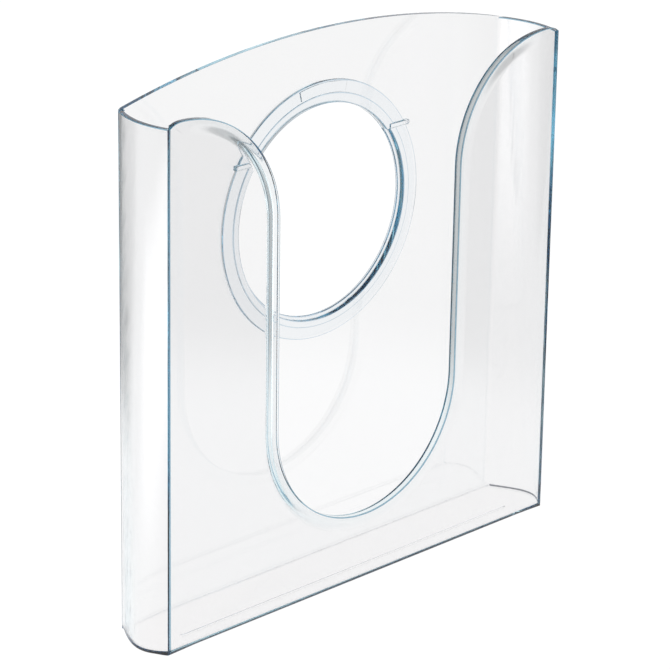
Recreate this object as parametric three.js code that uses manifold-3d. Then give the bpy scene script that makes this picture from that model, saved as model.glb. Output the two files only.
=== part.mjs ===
// Wall magazine holder: a clear pocket for A4 sheets, open at the top.
// The flat front panel has a deep round-bottomed cut-out, and the arched back panel has a round
// opening with a ring in it, by which the pocket hangs on a round wall bracket.
// Millimetres. +X runs to the right, +Y to the back, +Z up. The origin is the middle of the
// footprint, on the surface that the pocket stands on.
import * as THREE from 'three';
import { mergeVertices } from 'three/addons/utils/BufferGeometryUtils.js';
import Module from 'manifold-3d';

const wasm = await Module();
wasm.setup();

// ---- Driving dimensions -------------------------------------------------------------------

// Pocket
const DEPTH = 38;
const CORNER_HEIGHT = 250;
const BACK_WIDTH_TOP = 240;
const BACK_WIDTH_BOTTOM = 242.4;
const FRONT_OVERHANG = 2.5; // the front panel reaches this far past the back panel, each side
const WALL = 2.5;
const JOINT_GAP = 0.3; // room left for the bonding line between two pieces
const ARCH_RISE = 15.5; // top of the back panel above its corners

// Side walls: outward bow over the depth of the pocket
const BOW_TOP = 4.2;
const BOW_BOTTOM = 8;
const BOW_SKEW_TOP = 0;
const BOW_SKEW_BOTTOM = 1; // moves the fullest place of the bow towards the front
const COVE_RADIUS = 0.8; // inside corner with the back panel

// Cut-out of the front panel
const CUTOUT_RADIUS = 57.5;
const CUTOUT_BOTTOM = 34;
const SHOULDER_RADIUS = 58;
const SHOULDER_RISE = 2.5; // crest of a shoulder above the corner
const LIP_WIDTH = 5;
const LIP_DEPTH = 4.2;

// Floor, with a low rib along it
const FLOOR_THICKNESS = 1.5;
const FLOOR_RIB_SETBACK = 12; // middle of the rib behind the front face
const FLOOR_RIB_WIDTH = 1.2;
const FLOOR_RIB_HEIGHT = 0.6;
const FLOOR_RIB_LENGTH = 216;

// Ring in the round opening: a flange that fills it, and a collar that stands proud of the flange
const RING_CENTRE_HEIGHT = 177.5;
const FLANGE_RADIUS = 63;
const FLANGE_PROUD = 1.2; // in front of the back panel
const COLLAR_OUTER_RADIUS = 57;
const COLLAR_INNER_RADIUS = 53.5; // front rim of the lower arc
const COLLAR_PROUD = 1.9; // in front of the back panel
const INNER_LIP_RADIUS = 52; // rear lip, and the whole upper arc
const INNER_LIP_THICKNESS = 1.6;
const EDGE_CHAMFER = 0.4;
const SPLIT_HEIGHT = 31.5; // level cut between the two arcs, above the ring's centre
const STOP_WIDTH = 2.4;
const STOP_INNER_X = 43;
const STOP_FOOT_X = 52.7;
const STOP_OUTER_X = 55.7;
const STOP_PROUD = 0.7; // in front of the collar
const PAD_WIDTH = 29;
const PAD_RADII = [57.4, 62.2];
const PAD_PROUD = 0.5; // in front of the flange

// Smoothness
const ARC_STEPS = 20;
const RING_STEPS = 96;
const BOW_STEPS = 14;
const COVE_STEPS = 4;
const SLOPE_STEP = 0.01; // half the depth over which a wall's slope is measured

// ---- Derived places -----------------------------------------------------------------------

const REAR_FACE = DEPTH / 2;
const FRONT_FACE = -DEPTH / 2;
const BACK_PANEL_INSIDE = REAR_FACE - WALL;
const FRONT_PANEL_INSIDE = FRONT_FACE + WALL;
const CREST_X = CUTOUT_RADIUS + SHOULDER_RADIUS;
const CREST_Z = CORNER_HEIGHT + SHOULDER_RISE;
const PANEL_TRIM = 4; // spare width of a panel before its sides are cut along the mitres

// ---- Helpers ------------------------------------------------------------------------------

function toSolid(geometry) {
  const bare = geometry.index ? geometry.toNonIndexed() : geometry.clone();
  bare.deleteAttribute('normal');
  bare.deleteAttribute('uv');
  const merged = mergeVertices(bare, 1e-4);
  return new wasm.Manifold(new wasm.Mesh({
    numProp: 3,
    vertProperties: Float32Array.from(merged.attributes.position.array),
    triVerts: Uint32Array.from(merged.index.array),
  }));
}

function toGeometry(solid) {
  const mesh = solid.getMesh();
  const geometry = new THREE.BufferGeometry();
  geometry.setAttribute('position', new THREE.BufferAttribute(mesh.vertProperties, 3));
  geometry.setIndex(new THREE.BufferAttribute(mesh.triVerts, 1));
  geometry.computeVertexNormals();
  return geometry;
}

// A plate drawn in the XZ plane that stands upright, with its rear face at rearY.
function uprightPlate(shape, thickness, rearY) {
  const settings = { depth: thickness, bevelEnabled: false, curveSegments: ARC_STEPS };
  const geometry = new THREE.ExtrudeGeometry(shape, settings);
  geometry.rotateX(Math.PI / 2);
  geometry.translate(0, rearY, 0);
  return geometry;
}

function solidBox(min, max) {
  const size = max.map((value, axis) => value - min[axis]);
  const box = new THREE.BoxGeometry(...size);
  box.translate(...min.map((value, axis) => value + size[axis] / 2));
  return toSolid(box);
}

function clearPlastic(color) {
  return new THREE.MeshStandardMaterial({
    color,
    roughness: 0.05,
    metalness: 0,
    transparent: true,
    opacity: 0.35,
  });
}

// A solid between a plan on the floor and a plan at height, with the same number of points.
function loft(bottom, top, height) {
  const count = bottom.length;
  const capOf = (plan) => {
    const points = plan.map(([x, y]) => new THREE.Vector2(x, y));
    return THREE.ShapeUtils.triangulateShape(points, []);
  };
  const index = [];
  for (const [a, b, c] of capOf(bottom)) {
    index.push(a, c, b);
  }
  for (const [a, b, c] of capOf(top)) {
    index.push(a + count, b + count, c + count);
  }
  // A twisted side is split from the lower point further from mid-depth, so that two solids that
  // face each other across a mitre bend the same way.
  for (let i = 0; i < count; i += 1) {
    const next = (i + 1) % count;
    if (Math.abs(bottom[i][1]) > Math.abs(bottom[next][1])) {
      index.push(i, next, next + count, i, next + count, i + count);
    } else {
      index.push(i, next, i + count, next, next + count, i + count);
    }
  }
  const corners = [...bottom.map(([x, y]) => [x, y, 0]), ...top.map(([x, y]) => [x, y, height])];
  const geometry = new THREE.BufferGeometry();
  geometry.setAttribute('position', new THREE.Float32BufferAttribute(corners.flat(), 3));
  geometry.setIndex(index);
  geometry.computeVertexNormals();
  return geometry;
}

// ---- Plan of the right side wall ----------------------------------------------------------

const FLOOR_PLAN = { halfBack: BACK_WIDTH_BOTTOM / 2, bow: BOW_BOTTOM, skew: BOW_SKEW_BOTTOM };
const TOP_PLAN = { halfBack: BACK_WIDTH_TOP / 2, bow: BOW_TOP, skew: BOW_SKEW_TOP };

// How far out the outer face stands at depth y.
function outerReach(plan, y) {
  const share = (REAR_FACE - y) / DEPTH; // 0 at the rear face, 1 at the front face
  const bowShare = 4 * share * (1 - share) * (1 + plan.skew * (share - 0.5));
  return plan.halfBack + FRONT_OVERHANG * share + plan.bow * bowShare;
}

// How far out a surface stands that lies inset from the outer face, measured square to it.
function insetReach(plan, y, inset) {
  const rise = outerReach(plan, y + SLOPE_STEP) - outerReach(plan, y - SLOPE_STEP);
  return outerReach(plan, y) - inset * Math.hypot(1, rise / (2 * SLOPE_STEP));
}

function depths(from, to, steps) {
  return Array.from({ length: steps + 1 }, (_, i) => THREE.MathUtils.lerp(from, to, i / steps));
}

// A panel as wide as the pocket, with its two sides cut along the mitres with the side walls.
// The panel fills the depth from outerY, on the outside, to insideY.
function mitredBlock(outerY, insideY) {
  const corners = (plan) => {
    const outer = outerReach(plan, outerY) - JOINT_GAP;
    const inner = insetReach(plan, insideY, WALL) - JOINT_GAP;
    const points = [[-outer, outerY], [outer, outerY], [inner, insideY], [-inner, insideY]];
    return outerY < insideY ? points : points.reverse();
  };
  const block = toSolid(loft(corners(FLOOR_PLAN), corners(TOP_PLAN), CORNER_HEIGHT));
  // Above the corners a panel only gets narrower.
  const half = outerReach(TOP_PLAN, outerY) - JOINT_GAP;
  const [front, rear] = outerY < insideY ? [outerY, insideY] : [insideY, outerY];
  return block.add(solidBox([-half, front, CORNER_HEIGHT], [half, rear, 2 * CORNER_HEIGHT]));
}

// ---- Back panel ---------------------------------------------------------------------------

function backPanel() {
  const halfCorner = BACK_WIDTH_TOP / 2;
  const archRadius = (halfCorner ** 2 + ARCH_RISE ** 2) / (2 * ARCH_RISE);
  const archCentreZ = CORNER_HEIGHT + ARCH_RISE - archRadius;
  const half = BACK_WIDTH_BOTTOM / 2 + PANEL_TRIM;
  const archHalfAngle = Math.asin(half / archRadius);

  const outline = new THREE.Shape();
  outline.moveTo(-half, 0);
  outline.lineTo(half, 0);
  outline.absarc(0, archCentreZ, archRadius,
    Math.PI / 2 - archHalfAngle, Math.PI / 2 + archHalfAngle, false);
  outline.lineTo(-half, 0);

  const plate = toSolid(uprightPlate(outline, 3 * WALL, REAR_FACE + WALL));
  const opening = uprightPlate(circle(FLANGE_RADIUS + JOINT_GAP), 4 * WALL, REAR_FACE + WALL);
  opening.translate(0, 0, RING_CENTRE_HEIGHT);
  const panel = mitredBlock(REAR_FACE, BACK_PANEL_INSIDE).intersect(plate);
  return toGeometry(panel.subtract(toSolid(opening)));
}

function circle(radius) {
  const points = Array.from({ length: RING_STEPS }, (_, i) => {
    const angle = 2 * Math.PI * i / RING_STEPS;
    return new THREE.Vector2(radius * Math.cos(angle), radius * Math.sin(angle));
  });
  return new THREE.Shape(points);
}

// ---- Front panel --------------------------------------------------------------------------

// Runs along the edge of the cut-out from the right crest to the left one.
// offset moves the edge into the panel.
function addCutoutEdge(path, offset) {
  const shoulder = SHOULDER_RADIUS - offset;
  const bottom = CUTOUT_RADIUS + offset;
  const shoulderZ = CREST_Z - SHOULDER_RADIUS;
  const bottomZ = CUTOUT_BOTTOM + CUTOUT_RADIUS;
  path.absarc(CREST_X, shoulderZ, shoulder, Math.PI / 2, Math.PI, false);
  path.absarc(0, bottomZ, bottom, 0, -Math.PI, true);
  path.absarc(-CREST_X, shoulderZ, shoulder, 0, Math.PI / 2, false);
}

// The outer corners are quarter circles, which the mitres cut off at the corner height.
function frontOutline() {
  const cornerRun = BACK_WIDTH_TOP / 2 + FRONT_OVERHANG - CREST_X;
  const cornerRadius = (cornerRun ** 2 + SHOULDER_RISE ** 2) / (2 * SHOULDER_RISE);
  const half = CREST_X + cornerRadius;
  const cornerZ = CREST_Z - cornerRadius;

  const outline = new THREE.Shape();
  outline.moveTo(-half, 0);
  outline.lineTo(half, 0);
  outline.absarc(CREST_X, cornerZ, cornerRadius, 0, Math.PI / 2, false);
  addCutoutEdge(outline, 0);
  outline.absarc(-CREST_X, cornerZ, cornerRadius, Math.PI / 2, Math.PI, false);
  outline.lineTo(-half, 0);
  return outline;
}

// The band that thickens the panel along the cut-out, towards the inside of the pocket.
function lipOutline() {
  const edge = new THREE.Path();
  addCutoutEdge(edge, 0);
  const inside = new THREE.Path();
  addCutoutEdge(inside, LIP_WIDTH);
  return new THREE.Shape([
    ...edge.getPoints(ARC_STEPS),
    ...inside.getPoints(ARC_STEPS).reverse(),
  ]);
}

function frontPanel() {
  const plate = toSolid(uprightPlate(frontOutline(), 3 * WALL, FRONT_PANEL_INSIDE + WALL));
  const panel = mitredBlock(FRONT_FACE, FRONT_PANEL_INSIDE).intersect(plate);
  const lip = toSolid(uprightPlate(lipOutline(), LIP_DEPTH, FRONT_FACE + LIP_DEPTH));
  return toGeometry(panel.add(lip));
}

// ---- Side walls ---------------------------------------------------------------------------

const COVE_START = BACK_PANEL_INSIDE - COVE_RADIUS;

// Rounded inside corner between the wall and the back panel, from the wall to the panel.
function covePoints(plan) {
  const rear = BACK_PANEL_INSIDE - JOINT_GAP;
  const cornerX = insetReach(plan, rear, WALL);
  const curve = new THREE.QuadraticBezierCurve(
    new THREE.Vector2(insetReach(plan, COVE_START, WALL), COVE_START),
    new THREE.Vector2(cornerX, rear),
    new THREE.Vector2(cornerX - COVE_RADIUS, rear),
  );
  return curve.getPoints(COVE_STEPS).map(({ x, y }) => [x, y]);
}

// Plan of the right wall, with a mitred end at the front and at the rear.
function wallPlan(plan) {
  const outer = depths(FRONT_FACE, REAR_FACE, BOW_STEPS).map((y) => [outerReach(plan, y), y]);
  const inner = depths(FRONT_PANEL_INSIDE, COVE_START, BOW_STEPS)
    .map((y) => [insetReach(plan, y, WALL), y]);
  const rearCorner = [insetReach(plan, BACK_PANEL_INSIDE, WALL), BACK_PANEL_INSIDE - JOINT_GAP];
  return [...outer, rearCorner, ...covePoints(plan).reverse(), ...inner.slice(0, -1).reverse()];
}

// Swaps right for left. The points are reversed to keep running the same way round.
function mirrored(points) {
  return points.map(([x, y]) => [-x, y]).reverse();
}

function sideWall(side) {
  const plans = [wallPlan(FLOOR_PLAN), wallPlan(TOP_PLAN)];
  const [floor, top] = side === 'right' ? plans : plans.map(mirrored);
  return loft(floor, top, CORNER_HEIGHT);
}

// ---- Floor --------------------------------------------------------------------------------

function floorPanel() {
  const front = FRONT_PANEL_INSIDE + JOINT_GAP;
  const rear = BACK_PANEL_INSIDE - JOINT_GAP;
  const edge = (y) => insetReach(FLOOR_PLAN, y, WALL + JOINT_GAP);
  // The last point chamfers the rear corner, clear of the side wall's cove.
  const right = [
    ...depths(front, COVE_START, BOW_STEPS).map((y) => [edge(y), y]),
    [edge(rear) - COVE_RADIUS, rear],
  ];
  const plan = [...right, ...mirrored(right)];
  const plate = loft(plan, plan, FLOOR_THICKNESS);

  const rib = new THREE.BoxGeometry(FLOOR_RIB_LENGTH, FLOOR_RIB_WIDTH, FLOOR_THICKNESS);
  rib.translate(0, FRONT_FACE + FLOOR_RIB_SETBACK, FLOOR_THICKNESS / 2 + FLOOR_RIB_HEIGHT);
  return toGeometry(toSolid(plate).add(toSolid(rib)));
}

// ---- Ring ---------------------------------------------------------------------------------

const FLANGE_FRONT = BACK_PANEL_INSIDE - FLANGE_PROUD;
const COLLAR_FRONT = BACK_PANEL_INSIDE - COLLAR_PROUD;

// Section of the ring as [radius, y]. frontRadius is the inner radius of the collar's front rim.
function ringProfile(frontRadius) {
  const lipFront = REAR_FACE - INNER_LIP_THICKNESS;
  const lip = [[INNER_LIP_RADIUS, REAR_FACE]];
  if (frontRadius > INNER_LIP_RADIUS) {
    lip.push([INNER_LIP_RADIUS, lipFront], [frontRadius, lipFront]);
  }
  return [
    ...lip,
    [frontRadius, COLLAR_FRONT + EDGE_CHAMFER],
    [frontRadius + EDGE_CHAMFER, COLLAR_FRONT],
    [COLLAR_OUTER_RADIUS - EDGE_CHAMFER, COLLAR_FRONT],
    [COLLAR_OUTER_RADIUS, COLLAR_FRONT + EDGE_CHAMFER],
    [COLLAR_OUTER_RADIUS, FLANGE_FRONT],
    [FLANGE_RADIUS, FLANGE_FRONT],
    [FLANGE_RADIUS, REAR_FACE],
    [INNER_LIP_RADIUS, REAR_FACE],
  ];
}

// A closed section of [radius, y] points, turned about the ring's axis.
function turned(profile) {
  const points = profile.map(([radius, y]) => new THREE.Vector2(radius, y));
  return toSolid(new THREE.LatheGeometry(points, RING_STEPS));
}

// Everything in the ring's reach that is higher than a level above its centre.
function aboveLevel(level) {
  const reach = 2 * FLANGE_RADIUS;
  return solidBox([-reach, -reach, level], [reach, reach, reach]);
}

function ringLowerArc() {
  const ring = turned(ringProfile(COLLAR_INNER_RADIUS));
  return toGeometry(ring.subtract(aboveLevel(SPLIT_HEIGHT)));
}

// A level bar across an end of the upper arc. Its tip reaches over the back panel.
function stopBar(side) {
  const bottom = SPLIT_HEIGHT + JOINT_GAP;
  const front = COLLAR_FRONT - STOP_PROUD;
  const part = (outerX, rear) => {
    const ends = [side * STOP_INNER_X, side * outerX];
    return solidBox([Math.min(...ends), front, bottom], [Math.max(...ends), rear, bottom + STOP_WIDTH]);
  };
  const foot = part(STOP_FOOT_X, BACK_PANEL_INSIDE + EDGE_CHAMFER);
  return foot.add(part(STOP_OUTER_X, BACK_PANEL_INSIDE - JOINT_GAP));
}

// A raised blank pad that follows the top of the flange.
function ringPad() {
  const [inner, outer] = PAD_RADII;
  const front = FLANGE_FRONT - PAD_PROUD;
  const rear = FLANGE_FRONT + EDGE_CHAMFER;
  const band = turned([[inner, rear], [inner, front], [outer, front], [outer, rear], [inner, rear]]);
  const half = PAD_WIDTH / 2;
  const top = solidBox([-half, front - WALL, 0], [half, REAR_FACE, 2 * FLANGE_RADIUS]);
  return band.intersect(top);
}

function ringUpperArc() {
  const ring = turned(ringProfile(INNER_LIP_RADIUS));
  const arc = ring.intersect(aboveLevel(SPLIT_HEIGHT + JOINT_GAP));
  return toGeometry(arc.add(ringPad()).add(stopBar(1)).add(stopBar(-1)));
}

// ---- Assembly -----------------------------------------------------------------------------

const WALL_COLOR = 0xe9f1f4;
const RING_COLOR = 0xdcebf2;

function addPiece(parent, name, geometry, color) {
  const mesh = new THREE.Mesh(geometry, clearPlastic(color));
  mesh.name = name;
  parent.add(mesh);
}

const holder = new THREE.Group();
addPiece(holder, 'back_panel', backPanel(), WALL_COLOR);
addPiece(holder, 'front_panel', frontPanel(), WALL_COLOR);
addPiece(holder, 'left_side_wall', sideWall('left'), WALL_COLOR);
addPiece(holder, 'right_side_wall', sideWall('right'), WALL_COLOR);
addPiece(holder, 'floor_panel', floorPanel(), WALL_COLOR);

const ring = new THREE.Group();
ring.position.set(0, 0, RING_CENTRE_HEIGHT);
addPiece(ring, 'ring_lower_arc', ringLowerArc(), RING_COLOR);
addPiece(ring, 'ring_upper_arc', ringUpperArc(), RING_COLOR);
holder.add(ring);

export default holder;
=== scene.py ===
"""Looks for the clear magazine holder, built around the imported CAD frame.

The object is in metres, +Z up, with its front towards -Y. Shapes are worked out in millimetres.
"""
import math

import bmesh
import bpy
from mathutils import Matrix, Vector


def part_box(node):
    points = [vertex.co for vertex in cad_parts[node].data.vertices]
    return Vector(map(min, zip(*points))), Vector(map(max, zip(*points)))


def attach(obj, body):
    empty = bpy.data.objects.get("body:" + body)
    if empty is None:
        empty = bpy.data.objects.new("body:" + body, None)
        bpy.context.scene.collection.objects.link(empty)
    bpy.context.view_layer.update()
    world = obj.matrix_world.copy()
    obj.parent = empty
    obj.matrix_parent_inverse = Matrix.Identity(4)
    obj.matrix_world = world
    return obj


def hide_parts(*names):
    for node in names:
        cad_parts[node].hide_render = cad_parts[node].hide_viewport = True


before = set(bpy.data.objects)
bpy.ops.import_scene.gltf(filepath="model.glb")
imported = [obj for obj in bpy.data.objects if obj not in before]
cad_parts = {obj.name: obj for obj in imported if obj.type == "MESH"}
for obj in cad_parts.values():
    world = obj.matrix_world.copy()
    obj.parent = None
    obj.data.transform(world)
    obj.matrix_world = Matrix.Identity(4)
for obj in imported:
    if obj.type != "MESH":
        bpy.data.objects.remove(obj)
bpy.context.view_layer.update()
MM = 0.001  # in metres


def node_box(name):
    """Lowest and highest corner of a CAD node, in millimetres."""
    low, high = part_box(name)
    return Vector(low) / MM, Vector(high) / MM


# ---- Sizes read from the frame --------------------------------------------------------------

FRONT = node_box("front_panel")[0].y
REAR = node_box("back_panel")[1].y
DEPTH = REAR - FRONT
WALL = REAR - node_box("back_panel")[0].y
FRONT_INSIDE = FRONT + WALL
REAR_INSIDE = REAR - WALL
CORNER_Z = node_box("right_side_wall")[1].z
CREST_Z = node_box("front_panel")[1].z
ARCH_Z = node_box("back_panel")[1].z
LIP_DEPTH = node_box("front_panel")[1].y - FRONT
FLANGE_RADIUS = node_box("ring_lower_arc")[1].x
RING_Z = node_box("ring_lower_arc")[0].z + FLANGE_RADIUS
SPLIT_Z = node_box("ring_lower_arc")[1].z
COLLAR_FRONT = node_box("ring_lower_arc")[0].y
STOP_FRONT = node_box("ring_upper_arc")[0].y
STOP_REACH = node_box("ring_upper_arc")[1].x

# ---- Sizes that the boxes don't give, the same as in the CAD model --------------------------

HALF_BACK_FLOOR = 121.2
HALF_BACK_TOP = 120.0
OVERHANG = 2.5  # the front panel reaches this far past the back one, each side
BOW_FLOOR = 8.0
BOW_TOP = 4.2
BOW_SKEW_FLOOR = 1.0
CUTOUT_RADIUS = 57.5
CUTOUT_BOTTOM = 34.0
SHOULDER_RADIUS = 58.0
COLLAR_OUTER_RADIUS = 57.0
COLLAR_INNER_RADIUS = 53.5
LIP_RADIUS = 52.0
LIP_THICKNESS = 1.6
FLANGE_PROUD = 1.2
STOP_INNER_X = 43.0
STOP_WIDTH = 2.4
PAD_HALF_WIDTH = 14.5
PAD_PROUD = 0.5
FLOOR_THICKNESS = 1.5
RIB_LENGTH = 216.0
RIB_SETBACK = 12.0  # middle of the rib behind the front face

# ---- Fine shape -----------------------------------------------------------------------------

BOND_GAP = 0.02  # between two bonded pieces
ARC_GAP = 0.1  # between the two arcs of the ring
EDGE_ROUND = 0.55
ARCH_ROUND = 0.2
REAR_ROUND = 2.4  # upright rear edges
COVE = 0.8  # inside corner of a side wall and the back panel
FLOOR_COVE = 0.15
CONTACT_Z = FLOOR_THICKNESS + FLOOR_COVE  # the floor panel meets the walls up to this height
BASE_ROUND = CONTACT_Z  # outer edge that stands on the table
BASE_ROUND_FADE = 6.0  # distance from the end of a side wall over which that rounding grows
LIP_RUN = 8.0  # width over which the front panel thickens towards the cut-out
LIP_FLAT = 1.5  # width of the full thickness beside the cut-out
LIP_FADE = 40.0  # the lip grows to its full thickness over this width, from the corner inwards
RIB_HALF_WIDTH = 1.2
RIB_HEIGHT = 0.15
RIB_SINK = 0.02  # the long edges of the ridge lie this far below the floor's top
STOP_ROUND = 0.4
STOP_DROP = 0.05  # the end bars reach this far below the ends of the upper arc
STOP_SETBACK = 0.1  # and end this far in front of the back panel
FLANGE_MIDDLE_RADIUS = 60.0
PAD_INSET = (0.5, 0.7)  # from the collar and from the rim of the flange
PAD_EDGE = ((0.0, 0.3), (0.1, 0.1), (0.3, 0.0))  # inset and drop at each step of its edge
ROUND_STEPS = 6
COVE_STEPS = 6
RIB_STEPS = 12
WALL_STATIONS = 96  # over the depth of the pocket
WALL_LEVELS = 12
RING_STEPS = 192

# What a face is: a broad surface, a rim, the rim that stands on the table, or a bonded seam.
FACE, RIM, BASE, BOND = 0, 1, 2, 3

# Values of the face attributes that pick a rim's painted shade (a dark tint standing in for the dark
# lines that refraction draws along clear edges) and let light through a seam.
RIM_PAINTED_SHADE_SHARES = {RIM: 0.5, BASE: 1.0}
SEAM_SHARES = {BOND: 1.0}


def lerp(a, b, t):
    return a + (b - a) * t


def smoothstep(t):
    t = min(max(t, 0.0), 1.0)
    return t * t * (3 - 2 * t)


# ---- Plan of the side walls -----------------------------------------------------------------

def reach_at(half_back, bow, skew, y):
    """How far out a side wall stands at depth y, given the sizes at that height."""
    share = (REAR - y) / DEPTH  # 0 at the rear face, 1 at the front face
    bow_share = 4 * share * (1 - share) * (1 + skew * (share - 0.5))
    return half_back + OVERHANG * share + bow * bow_share


def outer_reach(y, z):
    """How far out a side wall's outer face stands."""
    floor = reach_at(HALF_BACK_FLOOR, BOW_FLOOR, BOW_SKEW_FLOOR, y)
    top = reach_at(HALF_BACK_TOP, BOW_TOP, 0.0, y)
    return lerp(floor, top, min(z / CORNER_Z, 1.0))


def inset_reach(y, z, inset):
    """The same for a surface inset from the outer face, measured square to it."""
    step = 0.01
    slope = (outer_reach(y + step, z) - outer_reach(y - step, z)) / (2 * step)
    return outer_reach(y, z) - inset * math.hypot(1, slope)


# ---- Mesh helpers ---------------------------------------------------------------------------

LEAST_MITRE = 0.3  # keeps the mitre of a very sharp corner short


def inward_normals(points):
    """Mitred inward directions at the corners of a closed outline that runs anticlockwise."""
    normals = []
    for i, here in enumerate(points):
        before = (here - points[i - 1]).normalized()
        after = (points[(i + 1) % len(points)] - here).normalized()
        first = Vector((-before.y, before.x))
        second = Vector((-after.y, after.x))
        middle = (first + second).normalized()
        normals.append(middle / max(middle.dot(first), LEAST_MITRE))
    return normals


def bridge(bm, loop, next_loop, kinds):
    """Quads between two loops. kinds says what each is."""
    count = len(loop)
    for i in range(count):
        j = (i + 1) % count
        face = bm.faces.new((loop[i], loop[j], next_loop[j], next_loop[i]))
        face.material_index = kinds[i]


def cap(bm, axis, level, kind):
    """Fills the open edges of a mesh that lie in the plane where that coordinate is level."""
    edges = []
    for edge in bm.edges:
        if edge.is_boundary and all(abs(vert.co[axis] - level) < 1e-3 for vert in edge.verts):
            edges.append(edge)
    made = bmesh.ops.triangle_fill(bm, use_beauty=True, edges=edges)
    for item in made["geom"]:
        if isinstance(item, bmesh.types.BMFace):
            item.material_index = kind


def merge_same_places(bm):
    """Merges the vertices that lie at the same place."""
    bmesh.ops.remove_doubles(bm, verts=bm.verts, dist=1e-4)


def to_object(bm, name):
    """Turns the millimetre mesh into an object in metres, with its faces pointing out."""
    bmesh.ops.recalc_face_normals(bm, faces=bm.faces)
    bmesh.ops.scale(bm, vec=(MM, MM, MM), verts=bm.verts)
    mesh = bpy.data.meshes.new(name)
    bm.to_mesh(mesh)
    bm.free()
    # The rim attribute picks a painted shade for the rims; the seam attribute lets light through
    # bonded seams.
    for attribute_name, shares in (("seam", SEAM_SHARES), ("rim", RIM_PAINTED_SHADE_SHARES)):
        attribute = mesh.attributes.new(attribute_name, "FLOAT", "FACE")
        for polygon in mesh.polygons:
            attribute.data[polygon.index].value = shares.get(polygon.material_index, 0.0)
    for polygon in mesh.polygons:
        polygon.material_index = 0
    piece = bpy.data.objects.new(name, mesh)
    bpy.context.scene.collection.objects.link(piece)
    return piece


def join_solids(piece, additions):
    """Joins other solids to a piece, so that no faces are left inside it."""
    for addition in additions:
        modifier = piece.modifiers.new("join", "BOOLEAN")
        modifier.operation = "UNION"
        modifier.solver = "EXACT"
        modifier.object = addition
    bpy.context.view_layer.update()
    joined = piece.evaluated_get(bpy.context.evaluated_depsgraph_get())
    mesh = bpy.data.meshes.new_from_object(joined)
    piece.modifiers.clear()
    piece.data = mesh
    for addition in additions:
        bpy.data.objects.remove(addition)
    return piece


def corner_arc(centre, radius, start, end, steps):
    """Points of an arc, with the angles in degrees."""
    points = []
    for i in range(steps + 1):
        angle = math.radians(lerp(start, end, i / steps))
        x = centre[0] + radius * math.cos(angle)
        y = centre[1] + radius * math.sin(angle)
        points.append(Vector((x, y)))
    return points


def quarter_round(radius):
    """(run, drop) pairs of a rounded edge, from its side to its face."""
    pairs = []
    for i in range(ROUND_STEPS + 1):
        angle = math.pi / 2 * i / ROUND_STEPS
        pairs.append((radius * (1 - math.sin(angle)), radius * (1 - math.cos(angle))))
    return pairs


# ---- Panels ---------------------------------------------------------------------------------

# A panel's edge is a section of (inset, depth) places, swept round the panel as a row of loops.
# The first places lie on its inside, at these insets. The inner and the outer rounding follow.
RAMP_STEPS = 20
RAMP_INSETS = [lerp(LIP_RUN, CONTACT_Z, i / RAMP_STEPS) for i in range(RAMP_STEPS)]
RAMP_INSETS += [CONTACT_Z, LIP_FLAT, COVE]
RIM_START = len(RAMP_INSETS)
RIM_END = RIM_START + 2 * ROUND_STEPS + 1
BOTTOM_PLACES = (0.0, 30.0, 60.0, 90.0, 108.0)  # x of the columns along the bottom edge
SIDE_STEPS = 20
SIDE_MARGINS = (4.0, 12.0)  # the side columns start this far above LIP_RUN and end below the corner


def edge_section(lip, inner_round, outer_round):
    """Section of a panel's edge as (inset, depth below the outer face), from the inside out.

    lip is how much thicker than the wall the panel is at the edge.
    """
    section = []
    for inset in RAMP_INSETS:
        rise = smoothstep((LIP_RUN - inset) / (LIP_RUN - LIP_FLAT))
        section.append((inset, WALL + lip * rise))
    for run, drop in reversed(quarter_round(inner_round)):
        section.append((drop, WALL + lip - run))
    for run, drop in reversed(quarter_round(outer_round)):
        section.append((run, drop))
    return section


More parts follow.
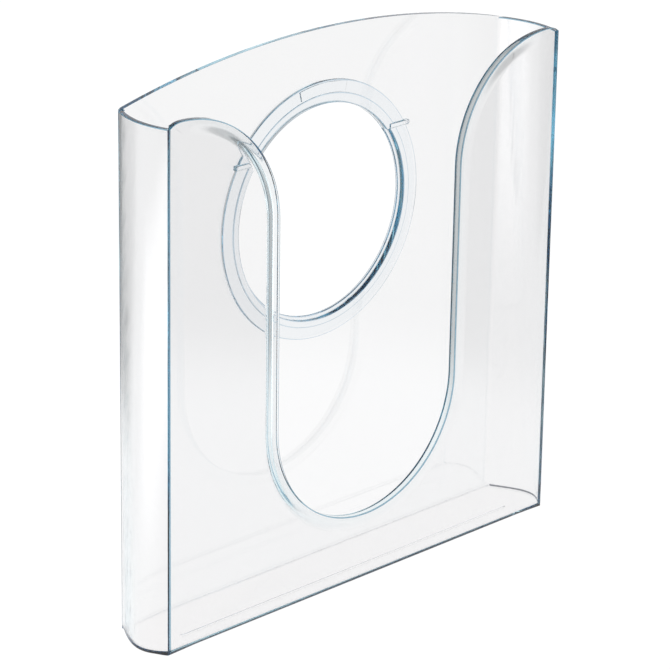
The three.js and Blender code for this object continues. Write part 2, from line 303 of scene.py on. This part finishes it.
class Panel:
    """A front or back panel between two side walls, with mitred sides that follow the walls.

    side_kind and base_kind say what the rounded outer edges at its sides and its bottom are, and so
    whether they take the painted rim shade.
    side_bond_start is the first loop of the seam with a side wall.
    """

    def __init__(self, face_y, inside_y, side_round, side_bond_start, side_kind, base_kind):
        self.face_y = face_y
        self.inside_y = inside_y
        self.inward = math.copysign(1, inside_y - face_y)
        self.side_round = side_round
        self.side_bond_start = side_bond_start
        self.side_kind = side_kind
        self.base_kind = base_kind

    def side_section(self, z):
        """Section of the panel's right side at height z, as (x, depth)."""
        corner = inset_reach(self.inside_y, z, WALL) - BOND_GAP
        turn = outer_reach(self.face_y + self.inward * self.side_round, z) - BOND_GAP
        face = outer_reach(self.face_y, z) - BOND_GAP
        section = [(corner - inset, WALL) for inset in RAMP_INSETS]
        for run, drop in reversed(quarter_round(BOND_GAP)):
            section.append((corner - drop, WALL - run))
        for run, drop in reversed(quarter_round(self.side_round)):
            section.append((lerp(face, turn, drop / self.side_round) - run, drop))
        return section

    def top_columns(self, top, lips, rounding):
        """Places along the top edge, from the corner to the middle.

        No place lies further out than the corner's own section, so the loops don't cross the side.
        """
        sections = [edge_section(lip, rounding, rounding) for lip in lips]
        normals = []
        for i in range(len(top)):
            ahead = top[min(i + 1, len(top) - 1)] - top[i]
            behind = top[i] - top[max(i - 1, 0)]
            along = (ahead.normalized() + behind.normalized()).normalized()
            normals.append(Vector((-along.y, along.x)))
        normals[-1] = Vector((0, -1 if normals[-1].y < 0 else 1))
        corner_section = self.side_section(CORNER_Z)
        columns = [[] for _ in top]
        for k, (corner_x, corner_depth) in enumerate(corner_section):
            row = [p + n * section[k][0] for p, n, section in zip(top, normals, sections)]
            first = next(i for i, place in enumerate(row) if place.x < corner_x)
            before, after = row[max(first - 1, 0)], row[max(first, 1)]
            share = (before.x - corner_x) / (before.x - after.x)
            corner = (corner_x, corner_depth, lerp(before.y, after.y, share))
            for i, place in enumerate(row):
                if i == 0 or i < first:
                    columns[i].append(corner)
                else:
                    columns[i].append((place.x, sections[i][k][1], place.y))
        return columns

    def mesh(self, top, lips, rounding, top_kind, hole=None):
        """The panel, from the right half of its top edge, which runs from the corner inwards.

        lips gives how much thicker than the wall the panel is at each point of the top edge.
        """
        bottom_section = edge_section(0.0, BOND_GAP, BASE_ROUND)
        columns, kinds = [], []
        for x in BOTTOM_PLACES:
            columns.append([(x, depth, inset) for inset, depth in bottom_section])
            kinds.append("bottom")
        corner = []
        for k, (inset, _) in enumerate(bottom_section):
            corner.append((*self.side_section(inset)[k], inset))
        columns.append(corner)
        kinds.append("side")
        for i in range(1, SIDE_STEPS):
            share = (i - 1) / (SIDE_STEPS - 2)
            z = lerp(LIP_RUN + SIDE_MARGINS[0], CORNER_Z - SIDE_MARGINS[1], share)
            columns.append([(x, depth, z) for x, depth in self.side_section(z)])
            kinds.append("side")
        for column in self.top_columns(top, lips, rounding):
            columns.append(column)
            kinds.append("top")
        count = len(columns)
        for column in columns[-2:0:-1]:
            columns.append([(-x, depth, z) for x, depth, z in column])
        kinds = kinds[:count - 1] + kinds[:count - 1][::-1]

        bm = bmesh.new()
        loops = []
        for k in range(RIM_END + 1):
            loop = []
            for column in columns:
                x, depth, z = column[k]
                loop.append(bm.verts.new((x, self.face_y + self.inward * depth, z)))
            loops.append(loop)
        for k in range(RIM_END):
            made = [self.kind(place, k, top_kind) for place in kinds]
            bridge(bm, loops[k], loops[k + 1], made)
        if hole:
            walls = []
            for y in (self.inside_y, self.face_y):
                walls.append([bm.verts.new((p.x, y, p.y)) for p in hole])
            bridge(bm, walls[0], walls[1], [BOND] * len(hole))
        merge_same_places(bm)
        cap(bm, 1, self.inside_y, FACE)
        cap(bm, 1, self.face_y, FACE)
        return bm

    def kind(self, place, k, top_kind):
        """What the strip between loops k and k + 1 is, on that part of the edge."""
        edge = RIM_START + ROUND_STEPS
        if place == "bottom":
            if RAMP_INSETS.index(CONTACT_Z) <= k < RIM_START:
                return BOND
            return self.base_kind if k > edge else FACE
        if place == "side":
            if self.side_bond_start <= k <= edge:
                return BOND
            return self.side_kind if k > edge else FACE
        return top_kind if k > edge else FACE


def front_panel():
    """The front panel, with its round-bottomed cut-out between two rounded shoulders."""
    crest_x = CUTOUT_RADIUS + SHOULDER_RADIUS
    shoulder_z = CREST_Z - SHOULDER_RADIUS
    half_top = HALF_BACK_TOP + OVERHANG
    run = half_top - crest_x
    rise = CREST_Z - CORNER_Z
    corner_radius = (run ** 2 + rise ** 2) / (2 * rise)
    corner_turn = math.degrees(math.asin(run / corner_radius))
    middle_z = CUTOUT_BOTTOM + CUTOUT_RADIUS

    top = corner_arc((crest_x, CREST_Z - corner_radius), corner_radius, 90 - corner_turn, 90, steps=12)
    top += corner_arc((crest_x, shoulder_z), SHOULDER_RADIUS, 90, 180, steps=90)[1:]
    top += [Vector((CUTOUT_RADIUS, lerp(shoulder_z, middle_z, i / 12))) for i in range(1, 12)]
    top += corner_arc((0.0, middle_z), CUTOUT_RADIUS, 0, -90, steps=90)
    top[-1].x = 0.0
    lips = [(LIP_DEPTH - WALL) * smoothstep((half_top - p.x) / LIP_FADE) for p in top]
    # Its sides and top take the painted rim shade, and its bottom edge the near-black painted shade.
    panel = Panel(FRONT, FRONT_INSIDE, EDGE_ROUND, RIM_START, RIM, BASE)
    return to_object(panel.mesh(top, lips, EDGE_ROUND, RIM), "front_panel_clear")


def back_panel():
    """The arched back panel, with the round hole that the ring sits in."""
    arch_rise = ARCH_Z - CORNER_Z
    arch_radius = (HALF_BACK_TOP ** 2 + arch_rise ** 2) / (2 * arch_rise)
    turn = math.degrees(math.asin(HALF_BACK_TOP / arch_radius))
    top = corner_arc((0.0, ARCH_Z - arch_radius), arch_radius, 90 - turn, 90, steps=64)
    top[-1].x = 0.0
    hole = corner_arc((0.0, RING_Z), FLANGE_RADIUS + BOND_GAP, 0, 360, steps=RING_STEPS)[:-1]
    no_lips = [0.0] * len(top)
    panel = Panel(REAR, REAR_INSIDE, REAR_ROUND, RAMP_INSETS.index(COVE), FACE, FACE)
    return to_object(panel.mesh(top, no_lips, ARCH_ROUND, FACE, hole), "back_panel_clear")


# ---- Side walls -----------------------------------------------------------------------------

def wall_plan(z):
    """Plan of the right wall at height z, anticlockwise, and the kind of each of its sides."""
    points, kinds = [], []
    for i in range(WALL_STATIONS + 1):
        y = lerp(FRONT + EDGE_ROUND, REAR - REAR_ROUND, i / WALL_STATIONS)
        points.append(Vector((outer_reach(y, z), y)))
        kinds.append("outer")
    kinds[-1] = "bond"
    rear = REAR_INSIDE - BOND_GAP
    corner = Vector((inset_reach(REAR_INSIDE, z, WALL), rear))
    cove_front = Vector((inset_reach(REAR_INSIDE - COVE, z, WALL), REAR_INSIDE - COVE))
    cove_rear = Vector((corner.x - COVE, rear))
    points.append(corner)
    kinds.append("bond")
    for i in range(COVE_STEPS):
        t = i / COVE_STEPS
        points.append(cove_rear.lerp(corner, t).lerp(corner.lerp(cove_front, t), t))
        kinds.append("inner")
    for i in range(WALL_STATIONS + 1):
        y = lerp(REAR_INSIDE - COVE, FRONT_INSIDE, i / WALL_STATIONS)
        points.append(Vector((inset_reach(y, z, WALL), y)))
        kinds.append("inner")
    kinds[-1] = "bond"
    return points, kinds


def wall_levels():
    """(height, outer inset, inner inset) from the floor up, with both rims rounded."""
    levels = [(drop, run, 0.0) for run, drop in quarter_round(BASE_ROUND)]
    for i in range(1, WALL_LEVELS + 1):
        levels.append((lerp(CONTACT_Z, CORNER_Z - EDGE_ROUND, i / WALL_LEVELS), 0.0, 0.0))
    levels += [(CORNER_Z - run, drop, drop) for run, drop in quarter_round(EDGE_ROUND)][1:]
    return levels


def side_wall(side, name):
    """A bowed side wall. side is 1 for the right one and -1 for the left one."""
    bm = bmesh.new()
    loops, heights = [], []
    for z, outer_inset, inner_inset in wall_levels():
        points, kinds = wall_plan(z)
        normals = inward_normals(points)
        loop = []
        for i, point in enumerate(points):
            touching = {kinds[i], kinds[i - 1]}
            inset = 0.0
            if "outer" in touching:
                inset = outer_inset
                if z < BASE_ROUND:
                    from_end = min(point.y - FRONT, REAR - point.y)
                    inset *= smoothstep(from_end / BASE_ROUND_FADE)
            elif "inner" in touching:
                inset = inner_inset
            place = point + normals[i] * inset
            loop.append(bm.verts.new((side * place.x, place.y, z)))
        loops.append(loop)
        heights.append(z)
    for k in range(len(loops) - 1):
        middle = (heights[k] + heights[k + 1]) / 2
        made = []
        for kind in kinds:
            if kind == "bond" or (kind == "inner" and middle < CONTACT_Z):
                made.append(BOND)
            # The top rim and the standing edge take the painted shade.
            elif middle > CORNER_Z - EDGE_ROUND:
                made.append(RIM)
            elif middle < BASE_ROUND:
                made.append(BASE)
            else:
                made.append(FACE)
        bridge(bm, loops[k], loops[k + 1], made)
    cap(bm, 2, 0.0, FACE)
    cap(bm, 2, CORNER_Z, RIM)
    return to_object(bm, name)


# ---- Floor ----------------------------------------------------------------------------------

def floor_panel():
    """The floor, with a cove that rises to the walls all round."""
    right = []
    for i in range(WALL_STATIONS + 1):
        y = lerp(FRONT_INSIDE + BOND_GAP, REAR_INSIDE - COVE, i / WALL_STATIONS)
        right.append(Vector((inset_reach(y, 0.0, WALL + BOND_GAP), y)))
    corner = Vector((inset_reach(REAR_INSIDE, 0.0, WALL + BOND_GAP), REAR_INSIDE - BOND_GAP))
    cove_rear = Vector((corner.x - COVE, corner.y))
    cove_front = right[-1].copy()
    for i in range(1, COVE_STEPS + 1):
        t = i / COVE_STEPS
        right.append(cove_front.lerp(corner, t).lerp(corner.lerp(cove_rear, t), t))
    plan = right + [Vector((-p.x, p.y)) for p in reversed(right)]
    normals = inward_normals(plan)

    levels = [(0.0, 0.0), (CONTACT_Z, 0.0)]
    for i in range(1, COVE_STEPS + 1):
        angle = math.pi / 2 * i / COVE_STEPS
        levels.append((CONTACT_Z - FLOOR_COVE * math.sin(angle), FLOOR_COVE * (1 - math.cos(angle))))
    bm = bmesh.new()
    loops = []
    for z, inset in levels:
        loop = []
        for point, normal in zip(plan, normals):
            place = point + normal * inset
            lean = outer_reach(point.y, 0.0) - outer_reach(point.y, z)
            loop.append(bm.verts.new((place.x - math.copysign(lean, place.x), place.y, z)))
        loops.append(loop)
    for k in range(len(loops) - 1):
        bridge(bm, loops[k], loops[k + 1], [BOND if k == 0 else FACE] * len(plan))
    cap(bm, 2, 0.0, FACE)
    cap(bm, 2, FLOOR_THICKNESS, FACE)
    piece = to_object(bm, "floor_panel_clear")
    return join_solids(piece, [floor_rib()])


def floor_rib():
    """A low ridge with a gently rounded top, which starts inside the floor."""
    middle = FRONT + RIB_SETBACK
    foot_z = FLOOR_THICKNESS / 2
    edge_z = FLOOR_THICKNESS - RIB_SINK
    section = [(middle + RIB_HALF_WIDTH, foot_z), (middle - RIB_HALF_WIDTH, foot_z)]
    for i in range(RIB_STEPS + 1):
        share = lerp(-1.0, 1.0, i / RIB_STEPS)
        section.append((middle + RIB_HALF_WIDTH * share, edge_z + RIB_HEIGHT * (1 - share ** 2)))
    bm = bmesh.new()
    ends = []
    for x in (-RIB_LENGTH / 2, RIB_LENGTH / 2):
        ends.append([bm.verts.new((x, y, z)) for y, z in section])
    bridge(bm, ends[0], ends[1], [FACE] * len(section))
    cap(bm, 0, -RIB_LENGTH / 2, FACE)
    cap(bm, 0, RIB_LENGTH / 2, FACE)
    return to_object(bm, "rib")


def rounded_bar(low, high, rounding):
    """A box with rounded edges."""
    bm = bmesh.new()
    bmesh.ops.create_cube(bm, size=1.0)
    low, high = Vector(low), Vector(high)
    for vert in bm.verts:
        vert.co = Vector(lerp(low[a], high[a], vert.co[a] + 0.5) for a in range(3))
    bmesh.ops.bevel(bm, geom=bm.edges[:], offset=rounding, segments=4, profile=0.5, affect="EDGES")
    return to_object(bm, "bar")


# ---- Ring -----------------------------------------------------------------------------------

def round_corners(section, radius):
    """Rounds the corners of a closed [radius, y] section that are marked True."""
    points = []
    for i, (here, rounded) in enumerate(section):
        if not rounded:
            points.append(here)
            continue
        before = section[i - 1][0]
        after = section[(i + 1) % len(section)][0]
        size_in = min(radius, (before - here).length * 0.45)
        size_out = min(radius, (after - here).length * 0.45)
        start = here + (before - here).normalized() * size_in
        end = here + (after - here).normalized() * size_out
        for step in range(ROUND_STEPS + 1):
            t = step / ROUND_STEPS
            points.append(start.lerp(here, t).lerp(here.lerp(end, t), t))
    return points


def ring_section(inner_radius):
    """Section of the ring: flange, collar and, behind a wider collar, the rear lip."""
    flange_front = REAR_INSIDE - FLANGE_PROUD
    corners = [((LIP_RADIUS, REAR), True)]
    if inner_radius > LIP_RADIUS:
        lip_front = REAR - LIP_THICKNESS
        corners += [((LIP_RADIUS, lip_front), True), ((inner_radius, lip_front), False)]
    corners += [
        ((inner_radius, COLLAR_FRONT), True),
        ((COLLAR_OUTER_RADIUS, COLLAR_FRONT), True),
        ((COLLAR_OUTER_RADIUS, flange_front), False),
        ((FLANGE_RADIUS, flange_front), True),
        ((FLANGE_RADIUS, REAR_INSIDE), False),
        ((FLANGE_RADIUS, REAR), False),
    ]
    return round_corners([(Vector(p), rounded) for p, rounded in corners], EDGE_ROUND)


def turned_ring(inner_radius):
    """The whole ring, turned about its axis."""
    section = ring_section(inner_radius)
    bm = bmesh.new()
    loops = []
    for i in range(RING_STEPS):
        angle = 2 * math.pi * (i + 0.5) / RING_STEPS
        loop = []
        for p in section:
            place = (p.x * math.cos(angle), p.y, RING_Z + p.x * math.sin(angle))
            loop.append(bm.verts.new(place))
        loops.append(loop)
    kinds = []
    for k, here in enumerate(section):
        after = section[(k + 1) % len(section)]
        on_rim = here.x > FLANGE_RADIUS - 1e-3 and after.x > FLANGE_RADIUS - 1e-3
        bonded = on_rim and min(here.y, after.y) > REAR_INSIDE - 1e-3
        rounded = (here - after).length < EDGE_ROUND / 2
        # The rounded corners take the painted rim shade.
        kinds.append(BOND if bonded else RIM if rounded else FACE)
    for i in range(RING_STEPS):
        bridge(bm, loops[i], loops[(i + 1) % RING_STEPS], kinds)
    return bm


def keep_side(bm, z, above):
    """Cuts a mesh level at z, keeps one side and closes the cut."""
    cut = bmesh.ops.bisect_plane(
        bm, geom=bm.verts[:] + bm.edges[:] + bm.faces[:], plane_co=(0, 0, z),
        plane_no=(0, 0, -1 if above else 1), clear_outer=True)
    edges = [item for item in cut["geom_cut"] if isinstance(item, bmesh.types.BMEdge)]
    made = bmesh.ops.edgeloop_fill(bm, edges=edges)
    for face in made["faces"]:
        face.material_index = FACE


def ring_lower_arc():
    """The lower arc, with the rear lip behind its wider collar."""
    bm = turned_ring(COLLAR_INNER_RADIUS)
    keep_side(bm, SPLIT_Z, above=False)
    return to_object(bm, "ring_lower_arc_clear")


def ring_upper_arc():
    """The upper arc, with a level bar across each end and the pad on top."""
    bm = turned_ring(LIP_RADIUS)
    bottom = SPLIT_Z + ARC_GAP
    keep_side(bm, bottom, above=True)
    piece = to_object(bm, "ring_upper_arc_clear")
    bars = []
    for side in (-1, 1):
        ends = sorted((side * STOP_INNER_X, side * STOP_REACH))
        low = (ends[0], STOP_FRONT, bottom - STOP_DROP)
        high = (ends[1], REAR_INSIDE - STOP_SETBACK, bottom + STOP_WIDTH)
        bars.append(rounded_bar(low, high, STOP_ROUND))
    return join_solids(piece, bars + [ring_pad()])


def ring_pad():
    """A raised blank pad that follows the top of the flange."""
    front = REAR_INSIDE - FLANGE_PROUD - PAD_PROUD
    inner = COLLAR_OUTER_RADIUS + PAD_INSET[0]
    outer = FLANGE_RADIUS - PAD_INSET[1]
    half_turn = math.degrees(math.asin(PAD_HALF_WIDTH / FLANGE_MIDDLE_RADIUS))
    edge = corner_arc((0.0, RING_Z), outer, 90 - half_turn, 90 + half_turn, steps=24)
    edge += corner_arc((0.0, RING_Z), inner, 90 + half_turn, 90 - half_turn, steps=24)
    normals = inward_normals(edge)
    bm = bmesh.new()
    loops = []
    levels = [(0.0, REAR_INSIDE)] + [(inset, front + drop) for inset, drop in PAD_EDGE]
    for inset, y in levels:
        loop = []
        for p, n in zip(edge, normals):
            loop.append(bm.verts.new((p.x + n.x * inset, y, p.y + n.y * inset)))
        loops.append(loop)
    for k in range(len(loops) - 1):
        bridge(bm, loops[k], loops[k + 1], [FACE] * len(edge))
    cap(bm, 1, REAR_INSIDE, FACE)
    cap(bm, 1, front, FACE)
    return to_object(bm, "pad")


# ---- Materials ------------------------------------------------------------------------------

WALL_TINT = (0.985, 0.955, 0.95)
# Painted shade: a dark teal tint on the rounded rims and a near-black one on the edge that stands on
# the table, standing in for the dark lines that refraction, inner reflection and the contact draw
# along clear edges.
WALL_RIM_PAINTED_SHADE = (0.11, 0.25, 0.36)
WALL_BASE_PAINTED_SHADE = (0.012, 0.014, 0.022)
WALL_DEPTH_COLOUR = (0.25, 0.66, 0.78)
WALL_DENSITY = 26.0
RING_TINT = (0.89, 0.90, 0.915)
# Painted shade on the ring's rounded rims, standing in for the blue-grey lines that refraction draws
# along its edges.
RING_RIM_PAINTED_SHADE = (0.46, 0.58, 0.68)
RING_DEPTH_COLOUR = (0.25, 0.64, 0.80)
RING_DENSITY = 6.0


def clear_plastic(name, tint, rim_painted_shade, base_painted_shade, depth_colour, density):
    """Polished clear polystyrene, which takes on the depth colour where light goes a long way in it.
    Its rims get a painted shade: a dark tint on rounded rims and a darker one on the rim that stands
    on the table.

    Where plastic meets plastic in a bonded seam, light goes straight on, so the seam doesn't show.
    """
    material = bpy.data.materials.new(name)
    material.use_nodes = True
    tree = material.node_tree
    shader = tree.nodes["Principled BSDF"]
    shader.inputs["IOR"].default_value = 1.59
    shader.inputs["Transmission Weight"].default_value = 1.0
    shader.inputs["Roughness"].default_value = 0.015

    # Painted shade: the rim attribute mixes the dark rim tints into the base colour on the rims.
    rim = tree.nodes.new("ShaderNodeAttribute")
    rim.attribute_name = "rim"
    colour = tree.nodes.new("ShaderNodeValToRGB")
    stops = colour.color_ramp.elements
    stops[0].color = (*tint, 1)
    stops[1].color = (*base_painted_shade, 1)
    stops.new(0.5).color = (*rim_painted_shade, 1)
    tree.links.new(rim.outputs["Fac"], colour.inputs["Fac"])
    tree.links.new(colour.outputs["Color"], shader.inputs["Base Color"])

    seam = tree.nodes.new("ShaderNodeAttribute")
    seam.attribute_name = "seam"
    solid = tree.nodes.new("ShaderNodeMath")
    solid.operation = "SUBTRACT"
    solid.inputs[0].default_value = 1.0
    tree.links.new(seam.outputs["Fac"], solid.inputs[1])
    tree.links.new(solid.outputs["Value"], shader.inputs["Alpha"])

    absorption = tree.nodes.new("ShaderNodeVolumeAbsorption")
    absorption.inputs["Color"].default_value = (*depth_colour, 1)
    absorption.inputs["Density"].default_value = density
    tree.links.new(absorption.outputs["Volume"], tree.nodes["Material Output"].inputs["Volume"])
    return material


# ---- Studio ---------------------------------------------------------------------------------

CAMERA_YAW = math.radians(43.8)
CAMERA_PITCH = math.radians(21.2)
CAMERA_ROLL = math.radians(0.92)
CAMERA_DISTANCE = 1.436
CAMERA_LENS = 160.6
CAMERA_TARGET = Vector((0.0136, 0.019, 0.1105))
PICTURE_REACH = 0.131  # the picture shows this far to either side, for each metre from the camera

TABLE_REACH = 12.0
TABLE_DROP = 0.0005  # keeps the table clear of the standing face
DARK_BEHIND = 0.68  # shares of its light that the table loses in its darker zones
DARK_RIGHT = 0.45
FAR_LIGHT = 0.65
PATCH_LIGHT = 1.4
PATCH_PLACE = (-0.45, -0.36)  # across the view and away from it, in metres
HORIZON_LIGHT = (1.0, 1.0, 1.0)
OVERHEAD_LIGHT = (0.30, 0.31, 0.33)


def make_camera():
    """Looks at the pocket from the front left and above."""
    forward = Vector((
        math.sin(CAMERA_YAW) * math.cos(CAMERA_PITCH),
        math.cos(CAMERA_YAW) * math.cos(CAMERA_PITCH),
        -math.sin(CAMERA_PITCH),
    ))
    right = Vector((math.cos(CAMERA_YAW), -math.sin(CAMERA_YAW), 0.0))
    up = right.cross(forward)
    roll = Matrix.Rotation(-CAMERA_ROLL, 3, forward)
    axes = Matrix((roll @ right, roll @ up, -forward)).transposed()
    camera = bpy.data.objects.new("camera", bpy.data.cameras.new("camera"))
    camera.data.lens = CAMERA_LENS
    camera.data.sensor_width = 36.0
    camera.matrix_world = Matrix.Translation(CAMERA_TARGET - CAMERA_DISTANCE * forward) @ axes.to_4x4()
    bpy.context.scene.collection.objects.link(camera)
    bpy.context.scene.camera = camera


def math_node(tree, operation, first, second):
    """Works out a sum, product or the like of two values, each an output or a number."""
    node = tree.nodes.new("ShaderNodeMath")
    node.operation = operation
    for socket, value in zip(node.inputs, (first, second)):
        if isinstance(value, (int, float)):
            socket.default_value = value
        else:
            tree.links.new(value, socket)
    return node.outputs["Value"]


def ramp(tree, value, start, end, first, last):
    """Goes smoothly from first to last while a value goes from start to end."""
    node = tree.nodes.new("ShaderNodeMapRange")
    node.interpolation_type = "SMOOTHSTEP"
    node.inputs["From Min"].default_value = start
    node.inputs["From Max"].default_value = end
    node.inputs["To Min"].default_value = first
    node.inputs["To Max"].default_value = last
    tree.links.new(value, node.inputs["Value"])
    return node.outputs["Result"]


def distance(tree, value, place):
    """How far a value lies from a place on its axis."""
    return math_node(tree, "ABSOLUTE", math_node(tree, "SUBTRACT", value, place), 0.0)


def make_table():
    """A white table that gives its own soft light. Its X runs across the view and its Y away from it.

    It gets darker beyond the sides of the picture, which draws grey lines along the clear edges.
    A brighter patch on the left gives the bowed left wall its white upright band.
    """
    corners = []
    for x, y in ((-1, -1), (1, -1), (1, 1), (-1, 1)):
        corners.append((x * TABLE_REACH, y * TABLE_REACH, 0.0))
    mesh = bpy.data.meshes.new("table")
    mesh.from_pydata(corners, [], [(0, 1, 2, 3)])
    table = bpy.data.objects.new("table", mesh)
    table.rotation_euler.z = -CAMERA_YAW
    table.location.z = -TABLE_DROP
    bpy.context.scene.collection.objects.link(table)

    material = bpy.data.materials.new("table")
    material.use_nodes = True
    tree = material.node_tree
    shader = tree.nodes["Principled BSDF"]
    shader.inputs["Base Color"].default_value = (0.06, 0.06, 0.06, 1)
    shader.inputs["Roughness"].default_value = 0.9
    shader.inputs["Specular IOR Level"].default_value = 0.0
    shader.inputs["Emission Strength"].default_value = 1.0
    tree.links.new(table_light(tree), shader.inputs["Emission Color"])
    mesh.materials.append(material)


def table_light(tree):
    """How bright the table is from place to place."""
    place = tree.nodes.new("ShaderNodeTexCoord")
    split = tree.nodes.new("ShaderNodeSeparateXYZ")
    tree.links.new(place.outputs["Object"], split.inputs["Vector"])
    across, away = split.outputs["X"], split.outputs["Y"]

    from_camera = math_node(tree, "ADD", away, CAMERA_DISTANCE * math.cos(CAMERA_PITCH))
    sideways = distance(tree, math_node(tree, "DIVIDE", across, from_camera), 0.0)
    outside = ramp(tree, sideways, PICTURE_REACH, 0.2, 0.0, DARK_BEHIND)
    behind = ramp(tree, away, 0.03, 0.2, 0.0, 1.0)
    dark_behind = math_node(tree, "MULTIPLY", behind, outside)

    beside = ramp(tree, away, 0.1, 0.3, 1.0, 0.0)
    on_the_right = ramp(tree, across, 0.2, 0.35, 0.0, DARK_RIGHT)
    dark_right = math_node(tree, "MULTIPLY", beside, on_the_right)

    light = ramp(tree, distance(tree, away, 0.0), 1.2, 2.4, 1.0, FAR_LIGHT)
    for dark in (dark_behind, dark_right):
        light = math_node(tree, "MULTIPLY", light, math_node(tree, "SUBTRACT", 1.0, dark))

    patch_x, patch_y = PATCH_PLACE
    patch_across = ramp(tree, distance(tree, across, patch_x), 0.12, 0.40, PATCH_LIGHT, 0.0)
    patch_away = ramp(tree, distance(tree, away, patch_y), 0.12, 0.36, 1.0, 0.0)
    patch = math_node(tree, "MULTIPLY", patch_across, patch_away)
    return math_node(tree, "ADD", light, patch)


def make_world():
    """Soft light from all round, white at the horizon and dimmer overhead."""
    world = bpy.data.worlds.new("studio")
    world.use_nodes = True
    bpy.context.scene.world = world
    tree = world.node_tree
    direction = tree.nodes.new("ShaderNodeTexCoord")
    split = tree.nodes.new("ShaderNodeSeparateXYZ")
    shade = tree.nodes.new("ShaderNodeValToRGB")
    horizon, overhead = shade.color_ramp.elements
    horizon.position = 0.5
    horizon.color = (*HORIZON_LIGHT, 1)
    overhead.position = 0.85
    overhead.color = (*OVERHEAD_LIGHT, 1)
    tree.links.new(direction.outputs["Generated"], split.inputs["Vector"])
    tree.links.new(split.outputs["Z"], shade.inputs["Fac"])
    tree.links.new(shade.outputs["Color"], tree.nodes["Background"].inputs["Color"])


def let_light_through_plastic():
    """Follows light that is reflected many times inside a clear edge before it leaves."""
    most = 80
    cycles = bpy.context.scene.cycles
    cycles.max_bounces = most
    cycles.glossy_bounces = most
    cycles.transmission_bounces = most
    cycles.transparent_max_bounces = most


# ---- Assembly -------------------------------------------------------------------------------

make_camera()
wall_plastic = clear_plastic(
    "clear_wall", WALL_TINT, WALL_RIM_PAINTED_SHADE, WALL_BASE_PAINTED_SHADE, WALL_DEPTH_COLOUR, WALL_DENSITY)
ring_plastic = clear_plastic(
    "clear_ring", RING_TINT, RING_RIM_PAINTED_SHADE, RING_RIM_PAINTED_SHADE, RING_DEPTH_COLOUR, RING_DENSITY)

PIECES = (
    (front_panel(), "front_panel", "clear_wall", wall_plastic),
    (back_panel(), "back_panel", "clear_wall", wall_plastic),
    (side_wall(-1, "left_side_wall_clear"), "left_side_wall", "clear_wall", wall_plastic),
    (side_wall(1, "right_side_wall_clear"), "right_side_wall", "clear_wall", wall_plastic),
    (floor_panel(), "floor_panel", "clear_wall", wall_plastic),
    (ring_lower_arc(), "ring_lower_arc", "clear_ring", ring_plastic),
    (ring_upper_arc(), "ring_upper_arc", "clear_ring", ring_plastic),
)
for piece, node, slot, plastic in PIECES:
    piece.data.materials.clear()
    piece.data.materials.append(plastic)
    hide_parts(node)
    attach(piece, "root")

make_table()
make_world()
let_light_through_plastic()
bpy.context.scene.view_settings.view_transform = "Standard"
